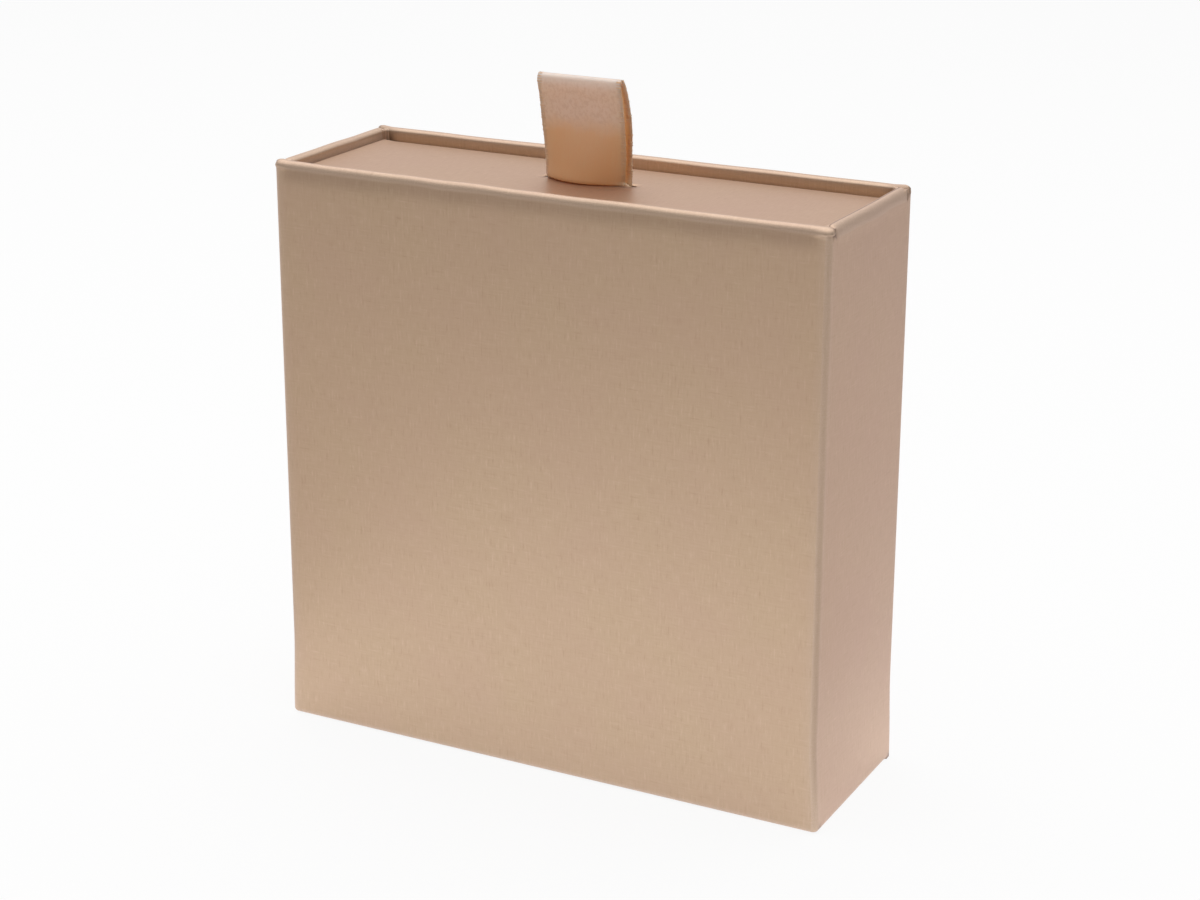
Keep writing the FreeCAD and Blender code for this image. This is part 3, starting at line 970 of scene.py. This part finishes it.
# %% Short words for shader nodes
class Finish:
    """A material under construction."""

    SOCKETS = {
        "colour": "Base Color", "roughness": "Roughness", "metallic": "Metallic",
        "normal": "Normal", "specular": "Specular IOR Level", "edge_tint": "Specular Tint",
        "sheen": "Sheen Weight", "sheen_roughness": "Sheen Roughness", "sheen_tint": "Sheen Tint",
        "coat": "Coat Weight", "coat_roughness": "Coat Roughness",
    }

    def __init__(self, name):
        self.material = bpy.data.materials.new(name)
        self.material.use_nodes = True
        self.tree = self.material.node_tree
        self.tree.nodes.clear()
        self.out = self.add("ShaderNodeOutputMaterial")
        self.shader = self.add("ShaderNodeBsdfPrincipled")
        self.feed(self.out.inputs["Surface"], self.shader.outputs[0])

    def add(self, kind, values=(), **settings):
        """A node with settings, and values or links for its inputs."""
        made = self.tree.nodes.new(kind)
        for key, value in settings.items():
            setattr(made, key, value)
        for socket, value in dict(values).items():
            self.feed(made.inputs[socket], value)
        return made

    def feed(self, socket, value):
        if isinstance(value, bpy.types.NodeSocket):
            self.tree.links.new(value, socket)
        elif isinstance(value, (tuple, list)) and len(value) == 3 and socket.type == "RGBA":
            socket.default_value = (*value, 1.0)
        else:
            socket.default_value = value

    def set(self, **values):
        for key, value in values.items():
            self.feed(self.shader.inputs[self.SOCKETS[key]], value)
        return self.material

    def mix_in(self, share, other):
        """Mix another shader into the finished surface."""
        mix = self.add("ShaderNodeMixShader", {0: share, 1: self.shader.outputs[0],
                                               2: other.outputs[0]})
        self.feed(self.out.inputs["Surface"], mix.outputs[0])

    # Places
    def sheet_place(self, uv_name):
        """The sheet's own UV map, in millimetres."""
        return self.add("ShaderNodeUVMap", uv_map=uv_name).outputs["UV"]

    def object_place(self):
        """Object coordinates in millimetres."""
        place = self.add("ShaderNodeTexCoord").outputs["Object"]
        return self.stretch(place, (1 / MM, 1 / MM, 1 / MM))

    def stretch(self, place, scale, shift=(0, 0, 0)):
        """The same place, scaled along each axis and shifted."""
        values = {"Vector": place, "Scale": scale, "Location": shift}
        return self.add("ShaderNodeMapping", values).outputs[0]

    # Patterns
    def noise(self, place, scale=1.0, detail=2.0, rough=0.5):
        values = {"Vector": place, "Scale": scale, "Detail": detail, "Roughness": rough}
        return self.add("ShaderNodeTexNoise", values).outputs["Fac"]

    def bands(self, place, direction, scale, distortion):
        values = {"Vector": place, "Scale": scale, "Distortion": distortion, "Detail": 1.0}
        kind = dict(wave_type="BANDS", bands_direction=direction)
        return self.add("ShaderNodeTexWave", values, **kind).outputs["Fac"]

    def value(self, name):
        """A number that the mesh carries at its points."""
        return self.add("ShaderNodeAttribute", attribute_name=name).outputs["Fac"]

    # Sums
    def maths(self, operation, a, b=0.0):
        return self.add("ShaderNodeMath", {0: a, 1: b}, operation=operation).outputs[0]

    def times(self, a, b):
        return self.maths("MULTIPLY", a, b)

    def weighed(self, a, share_a, b, share_b):
        """Two patterns added by their shares."""
        return self.maths("ADD", self.times(a, share_a), self.times(b, share_b))

    def remap(self, value, low, high, to_low=0.0, to_high=1.0):
        """From to_low at low to to_high at high, and level beyond them."""
        made = self.add("ShaderNodeMapRange", clamp=True)
        for socket, x in zip(made.inputs, (value, low, high, to_low, to_high)):
            self.feed(socket, x)
        return made.outputs[0]

    # Colours and relief
    def tint(self, share, a, b):
        """From colour a to colour b by a share."""
        made = self.add("ShaderNodeMix", {"Factor": share}, data_type="RGBA")
        entries = [s for s in made.inputs if s.type == "RGBA"]
        for socket, colour in zip(entries, (a, b)):
            self.feed(socket, colour)
        return [s for s in made.outputs if s.type == "RGBA"][0]

    def bump(self, height, distance_mm, strength):
        """A normal that follows a pattern as if it stood up by a distance."""
        values = {"Strength": strength, "Distance": distance_mm * MM, "Height": height}
        return self.add("ShaderNodeBump", values).outputs[0]


# %% [markdown]
# The paper is printed with a metallic pearl pigment and pressed with a linen
# grain: fine threads both ways, with thicker slubs here and there. One noise is
# drawn out upright and one level, and the same two give the colour, the gloss
# and the relief, so that they agree. On the wrapped sheets two numbers that the
# mesh carries make the paper paler, rougher and less metallic along its edges, as
# wear and partly as a painted highlight on the rims, and darker with painted
# shade in slits, corners, creases and under the rims. A plain image of linen
# would blur close up and repeat.

# %% Champagne pearl paper with a linen emboss
THREAD_DARK, THREAD_LIGHT = (0.541, 0.372, 0.242), (0.575, 0.404, 0.268)
SLUB, SUNK = (0.660, 0.480, 0.340), (0.450, 0.290, 0.180)
CLOUD, FLECK = (0.558, 0.368, 0.262), (0.74, 0.58, 0.46)
# colours of wear with painted highlight, and of painted shade
WEAR_AND_HIGHLIGHT_TINT, PAINTED_SHADE = (0.82, 0.66, 0.56), (0.19, 0.105, 0.065)
PEARL, PEARL_RUBBED = 0.85, 0.45  # how metallic the pigment is


def pearl_paper(name, on_sheet):
    finish = Finish(name)
    place = finish.sheet_place("flat_paper") if on_sheet else finish.object_place()
    upright = finish.noise(finish.stretch(place, (3.2, 0.42, 1.0)), 1.0, 3.0, 0.55)
    level = finish.noise(finish.stretch(place, (0.30, 3.4, 1.0), (7, 3, 0)), 1.0, 3.0, 0.55)
    weave = finish.times(finish.bands(place, "X", 0.62, 1.2), finish.bands(place, "Y", 0.62, 1.2))
    cloud = finish.noise(place, 0.06, 3.0, 0.6)
    fleck = finish.noise(place, 4.5, 2.0, 0.6)
    thread = finish.weighed(upright, 0.52, level, 0.48)
    colour = finish.tint(finish.remap(thread, 0.34, 0.66), THREAD_DARK, THREAD_LIGHT)
    slubs = finish.maths("MAXIMUM", finish.remap(upright, 0.60, 0.72),
                         finish.remap(level, 0.64, 0.76))
    colour = finish.tint(finish.times(slubs, 0.45), colour, SLUB)
    sunk = finish.maths("MAXIMUM", finish.remap(upright, 0.38, 0.28),
                        finish.remap(level, 0.34, 0.24))
    colour = finish.tint(finish.times(sunk, 0.45), colour, SUNK)
    colour = finish.tint(finish.remap(cloud, 0.35, 0.65, 0.0, 0.35), colour, CLOUD)
    colour = finish.tint(finish.remap(fleck, 0.62, 0.78, 0.0, 0.25), colour, FLECK)
    rough = finish.remap(thread, 0.3, 0.7, 0.50, 0.42)
    metal = PEARL
    if on_sheet:
        # wear with painted highlight: paler, rougher and less metallic
        wear = finish.times(finish.value("worn"), finish.remap(fleck, 0.3, 0.7, 0.5, 1.0))
        colour = finish.tint(finish.times(wear, 0.55), colour, WEAR_AND_HIGHLIGHT_TINT)
        rough = finish.maths("ADD", rough, finish.times(wear, 0.14))
        metal = finish.remap(wear, 0.0, 1.0, PEARL, PEARL_RUBBED)
        # painted shade from the mesh's shade numbers
        colour = finish.tint(finish.times(finish.value("shade"), 0.8), colour, PAINTED_SHADE)
    normal = finish.bump(finish.weighed(thread, 0.7, weave, 0.3), 0.028, 0.5)
    return finish.set(
        colour=colour, roughness=rough, metallic=metal, normal=normal,
        specular=0.4, edge_tint=(1.0, 0.85, 0.88), coat=0.5, coat_roughness=0.45,
        sheen=0.15, sheen_roughness=0.4, sheen_tint=(1.0, 0.72, 0.68))


cover_paper = pearl_paper("champagne_pearl_paper", True)
flat_paper = pearl_paper("champagne_pearl_paper_flat", False)
print("paper:", len(cover_paper.node_tree.nodes), "nodes")


# %% [markdown]
# Satin floats its long threads on top, so it shines in streaks along its
# length. This one is crinkled round the fold, where fingers pull it, and is
# painted pale there and along its fold as a painted sheen, with painted shade in
# the crinkle's dips and painted light along its edges. It glows a little where
# light comes through from behind, which a share of translucent shader gives.

# %% Peach satin
THREAD_DEEP, THREAD_BRIGHT = (0.990, 0.625, 0.330), (1.0, 0.705, 0.410)
# painted sheen and painted shade round the fold, painted light at the edges, a painted highlight
# at the fold, and painted light on the selvedge
SATIN_PAINTED_SHEEN, SATIN_PIT_SHADE = (1.0, 0.860, 0.770), (0.78, 0.59, 0.46)
SATIN_EDGE_LIGHT, SATIN_FOLD_HIGHLIGHT = (1.0, 0.820, 0.600), (1.0, 0.960, 0.940)
SELVEDGE_LIGHT = (1.0, 0.820, 0.620)
THROUGH, THROUGH_SHARE = (1.0, 0.77, 0.47), 0.39  # light that comes through


def satin(name, on_sheet):
    finish = Finish(name)
    place = finish.sheet_place("flat_ribbon") if on_sheet else finish.object_place()
    warp = finish.noise(finish.stretch(place, (9.0, 0.22, 1.0)), 1.0, 2.0, 0.6)
    fine = finish.noise(finish.stretch(place, (16.0, 0.8, 1.0), (3, 5, 0)), 1.0, 1.0, 0.5)
    streak = finish.weighed(warp, 0.65, fine, 0.35)
    height = finish.weighed(streak, 0.8, finish.bands(place, "Y", 1.3, 0.4), 0.2)
    colour = finish.tint(finish.remap(streak, 0.36, 0.66), THREAD_DEEP, THREAD_BRIGHT)
    if on_sheet:
        run = finish.add("ShaderNodeSeparateXYZ", {0: place})
        from_fold = finish.maths(
            "ABSOLUTE", finish.maths("SUBTRACT", run.outputs["Y"], fold_run))
        from_middle = finish.maths("ABSOLUTE", run.outputs["X"])
        uneven = finish.times(finish.noise(place, 0.35, 2.0), 3.0)
        crinkle = finish.noise(finish.stretch(place, (1.6, 1.1, 1.0), (9, 2, 0)), 1.0, 4.0, 0.7)
        # a pale zone round the fold, a painted sheen, which also holds the crinkle
        rubbed = finish.remap(finish.maths("ADD", from_fold, uneven), 11.6, 8.4, 0.0, 0.85)
        rubbed = finish.times(rubbed, finish.remap(crinkle, 0.35, 0.65, 0.65, 1.0))
        colour = finish.tint(rubbed, colour, SATIN_PAINTED_SHEEN)
        # painted light along the edges
        colour = finish.tint(finish.remap(from_middle, 5.0, 7.3, 0.0, 0.3), colour, SATIN_EDGE_LIGHT)
        # painted shade in the crinkle's dips
        pit_shade = finish.times(finish.remap(crinkle, 0.52, 0.40), rubbed)
        colour = finish.tint(pit_shade, colour, SATIN_PIT_SHADE)
        # painted highlight along the fold
        colour = finish.tint(finish.remap(from_fold, 2.2, 0.6), colour, SATIN_FOLD_HIGHLIGHT)
        height = finish.maths("ADD", height, finish.times(finish.times(crinkle, rubbed), 2.4))
    else:
        # the selvedge is painted lighter, painted light
        colour = finish.tint(0.4, colour, SELVEDGE_LIGHT)
    finish.set(
        colour=colour, roughness=finish.remap(streak, 0.3, 0.7, 0.44, 0.30),
        normal=finish.bump(height, 0.02, 0.35), specular=1.0, coat=0.75, coat_roughness=0.35,
        sheen=0.58, sheen_roughness=0.35, sheen_tint=(1.0, 0.92, 0.90))
    finish.mix_in(THROUGH_SHARE, finish.add("ShaderNodeBsdfTranslucent", {"Color": THROUGH}))
    return finish.material


ribbon_satin = satin("peach_satin", True)
selvedge_satin = satin("peach_satin_selvedge", False)
print("satin:", len(ribbon_satin.node_tree.nodes), "nodes")


# %% [markdown]
# Three plain stuffs make up the rest, and a buyer sees them only when the
# drawer is out. Grey board is pressed waste paper with light and dark flecks,
# the stay tape is brown kraft, and the lining is an ivory paper with a faint
# tooth. Each is one fibre noise and one broader noise, at its own scale.

# %% Grey board, kraft tape and lining paper
def grey_board():
    finish = Finish("grey_board")
    place = finish.object_place()
    fibre = finish.noise(finish.stretch(place, (1.6, 1.6, 5.0)), 1.0, 5.0, 0.65)
    fleck = finish.noise(place, 6.0, 3.0, 0.7)
    colour = finish.tint(
        finish.remap(fibre, 0.35, 0.65), (0.235, 0.215, 0.190), (0.330, 0.305, 0.270))
    colour = finish.tint(finish.remap(fleck, 0.60, 0.72, 0.0, 0.6), colour, (0.48, 0.44, 0.38))
    colour = finish.tint(finish.remap(fleck, 0.40, 0.28, 0.0, 0.6), colour, (0.12, 0.105, 0.09))
    return finish.set(colour=colour, roughness=finish.remap(fleck, 0.3, 0.7, 0.85, 0.98),
                      normal=finish.bump(fibre, 0.08, 0.6), specular=0.2)


def kraft_tape():
    finish = Finish("gummed_kraft_tape")
    place = finish.object_place()
    fibre = finish.noise(finish.stretch(place, (3.0, 3.0, 0.5)), 1.0, 4.0, 0.6)
    cloud = finish.noise(place, 0.15, 3.0, 0.5)
    colour = finish.tint(
        finish.remap(fibre, 0.35, 0.65), (0.40, 0.245, 0.125), (0.50, 0.325, 0.185))
    colour = finish.tint(finish.remap(cloud, 0.35, 0.65, 0.0, 0.3), colour, (0.36, 0.22, 0.12))
    return finish.set(colour=colour, roughness=finish.remap(fibre, 0.3, 0.7, 0.62, 0.78),
                      normal=finish.bump(fibre, 0.03, 0.5), specular=0.3)


def lining_paper():
    finish = Finish("ivory_lining_paper")
    place = finish.object_place()
    tooth = finish.noise(place, 3.2, 4.0, 0.6)
    cloud = finish.noise(place, 0.06, 3.0, 0.5)
    colour = finish.tint(
        finish.remap(tooth, 0.3, 0.7), (0.700, 0.600, 0.470), (0.760, 0.665, 0.540))
    colour = finish.tint(finish.remap(cloud, 0.35, 0.65, 0.0, 0.4), colour, (0.72, 0.60, 0.46))
    return finish.set(colour=colour, roughness=finish.remap(tooth, 0.3, 0.7, 0.75, 0.9),
                      normal=finish.bump(tooth, 0.03, 0.5), specular=0.3)


# %% Put a finish on each piece
def dress(piece, material):
    """Give a piece one material and nothing else."""
    piece.data.materials.clear()
    piece.data.materials.append(material)


finish_of = {"board": grey_board(), "tape": kraft_tape(), "lining": lining_paper(),
             "foot_sheet": flat_paper, "patch": flat_paper}
for name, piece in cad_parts.items():
    for word, material in finish_of.items():
        if word in name:
            dress(piece, material)
for piece in (sleeve_cover, corner_tabs, tray_cover):
    dress(piece, cover_paper)
dress(pull_ribbon, ribbon_satin)
print("dressed", len(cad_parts), "CAD nodes and 4 new pieces")


# %% Lay the selvedge's ribs and make them a plain mesh
modifier = selvedge.modifiers.new("ribs", "NODES")
modifier.node_group = rib_tree
for item in rib_tree.interface.items_tree:
    if item.item_type == "SOCKET" and item.in_out == "INPUT" and item.name == "Material":
        modifier[item.identifier] = selvedge_satin
settle(selvedge)
selvedge.data.polygons.foreach_set(
    "material_index", np.zeros(len(selvedge.data.polygons), np.int32))
dress(selvedge, selvedge_satin)
print("selvedge:", len(selvedge.data.polygons) // 10, "ribs")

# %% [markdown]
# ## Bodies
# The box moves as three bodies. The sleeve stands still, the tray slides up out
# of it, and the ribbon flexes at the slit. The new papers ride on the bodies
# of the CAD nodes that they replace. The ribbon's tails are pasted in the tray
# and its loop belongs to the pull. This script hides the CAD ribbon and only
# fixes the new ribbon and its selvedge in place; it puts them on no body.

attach(sleeve_cover, "sleeve")
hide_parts("sleeve_wrap")
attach(corner_tabs, "sleeve")
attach(tray_cover, "tray")
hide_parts("tray_wrap")

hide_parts("ribbon_loop", "ribbon_tails")
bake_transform(pull_ribbon)
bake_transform(selvedge)

# %% [markdown]
# ## Floor and light
# Pearl pigment is half a mirror, so the paper takes its tone from what is round
# it more than from the lamps. The sky is therefore graded: lighter overhead
# and behind the box, darker in front and low on its right. Only the camera
# sees floor and sky as white, by the Is Camera Ray output, and the floor keeps
# the box's shadow.

# %% The floor
FLOOR_HALF = 3000
FLOOR_LEVEL = -0.02
WHITENED = 0.9  # share of white that the camera sees on the floor
corners = [(FLOOR_HALF * a, FLOOR_HALF * b, FLOOR_LEVEL)
           for a, b in ((-1, -1), (1, -1), (1, 1), (-1, 1))]
floor = new_piece("floor", corners, [(0, 1, 2, 3)], smooth=False)
floor_finish = Finish("studio_floor")
floor_finish.set(colour=(0.84, 0.84, 0.84), roughness=0.9, specular=0.1)
seen = floor_finish.add("ShaderNodeLightPath").outputs["Is Camera Ray"]
glow = floor_finish.add("ShaderNodeEmission", {"Strength": 1.0})
floor_finish.mix_in(floor_finish.times(seen, WHITENED), glow)
dress(floor, floor_finish.material)
print("floor:", 2 * FLOOR_HALF * MM, "m wide")

# %% The sky
SKY_FRONT, SKY_BACK, SKY_TOP, SKY_RIGHT = 0.065, 0.275, 0.44, -0.60
RIGHT_TOP = 0.85  # how high the darker right side reaches

world = bpy.data.worlds.new("studio")
bpy.context.scene.world = world
world.use_nodes = True
nodes, links = world.node_tree.nodes, world.node_tree.links
background = nodes["Background"]
background.inputs["Color"].default_value = (1, 1, 1, 1)
way = nodes.new("ShaderNodeSeparateXYZ")
links.new(nodes.new("ShaderNodeTexCoord").outputs["Generated"], way.inputs[0])


def sky_maths(operation, a, b):
    """A sum of two numbers or sockets in the world's nodes."""
    made = nodes.new("ShaderNodeMath")
    made.operation = operation
    for socket, value in zip(made.inputs, (a, b)):
        if isinstance(value, bpy.types.NodeSocket):
            links.new(value, socket)
        else:
            socket.default_value = value
    return made.outputs[0]


height = sky_maths("MAXIMUM", way.outputs["Z"], 0.0)
overhead = sky_maths("MULTIPLY", height, SKY_TOP)
behind = sky_maths("MULTIPLY", sky_maths("ADD", way.outputs["Y"], 1.0), SKY_BACK)
low_down = sky_maths("MAXIMUM", sky_maths("SUBTRACT", RIGHT_TOP, height), 0.0)
beside = sky_maths("MULTIPLY", sky_maths("MAXIMUM", way.outputs["X"], 0.0), SKY_RIGHT)
beside = sky_maths("MULTIPLY", beside, low_down)
sky = sky_maths("ADD", sky_maths("ADD", overhead, behind), sky_maths("ADD", beside, SKY_FRONT))
seen = nodes.new("ShaderNodeLightPath").outputs["Is Camera Ray"]
links.new(sky_maths("MAXIMUM", sky, seen), background.inputs["Strength"])
print("sky:", len(nodes), "nodes")


# %% [markdown]
# One wide lamp hangs overhead, so that shadows are soft. A pale table sends
# light up round a box's foot, more than the darkened sky allows here, so a weak
# lamp that lies on the floor round the foot shines up along the walls.

# %% Two lamps
def soft_box(name, place, target, size, power, colour=(1, 1, 1)):
    """A lamp with a broad face, turned to a target and unseen by the camera."""
    light = bpy.data.lights.new(name, "AREA")
    light.shape = "RECTANGLE"
    light.size, light.size_y = size
    light.energy = power
    light.color = colour
    lamp = bpy.data.objects.new(name, light)
    bpy.context.scene.collection.objects.link(lamp)
    lamp.location = place
    lamp.rotation_mode = "QUATERNION"
    lamp.rotation_quaternion = (Vector(target) - Vector(place)).to_track_quat("-Z", "Y")
    lamp.visible_camera = False
    print(name, power, "W")


soft_box("top_light", (-0.08, 0.02, 0.70), (-0.08, 0.02, 0), (1.2, 1.0), 4.15)
soft_box("table_light", (-0.004, 0, 0.0001), (-0.004, 0, 1), (0.145, 0.28), 0.069,
         (0.88, 1.0, 1.10))

# %% [markdown]
# ## Camera
# A long lens from a little above shows the mouth and keeps the walls nearly
# parallel. The camera is placed by its own right, up and back directions, so
# each number moves the picture one way only.

# %% The camera
AZIMUTH, ELEVATION, ROLL_ANGLE = (math.radians(x) for x in (27.674, 18.836, 0.160))
FRAME_WIDE, FOCAL_LENGTH = 1200, 2550.0  # both in pixels of the picture
SENSOR = 36.0
FROM_ORIGIN = (2.356, 49.696, 447.35)  # millimetres right, up and back

level = Vector((math.cos(AZIMUTH), math.sin(AZIMUTH), 0))
back = Vector((math.sin(AZIMUTH) * math.cos(ELEVATION),
               -math.cos(AZIMUTH) * math.cos(ELEVATION), math.sin(ELEVATION)))
upright = back.cross(level)
right = level * math.cos(ROLL_ANGLE) + upright * math.sin(ROLL_ANGLE)
up = upright * math.cos(ROLL_ANGLE) - level * math.sin(ROLL_ANGLE)
stand = sum((axis * x for axis, x in zip((right, up, back), FROM_ORIGIN)), Vector())
lens = bpy.data.cameras.new("camera")
lens.sensor_width = SENSOR
lens.lens = SENSOR * FOCAL_LENGTH / FRAME_WIDE
lens.clip_start, lens.clip_end = 0.01, 50
camera = bpy.data.objects.new("camera", lens)
bpy.context.scene.collection.objects.link(camera)
camera.matrix_world = (Matrix.Translation(stand * MM)
                       @ Matrix((right, up, back)).transposed().to_4x4())
bpy.context.scene.camera = camera
bpy.context.scene.view_settings.view_transform = "Standard"
print("camera at", [round(x, 3) for x in camera.matrix_world.translation], "m")
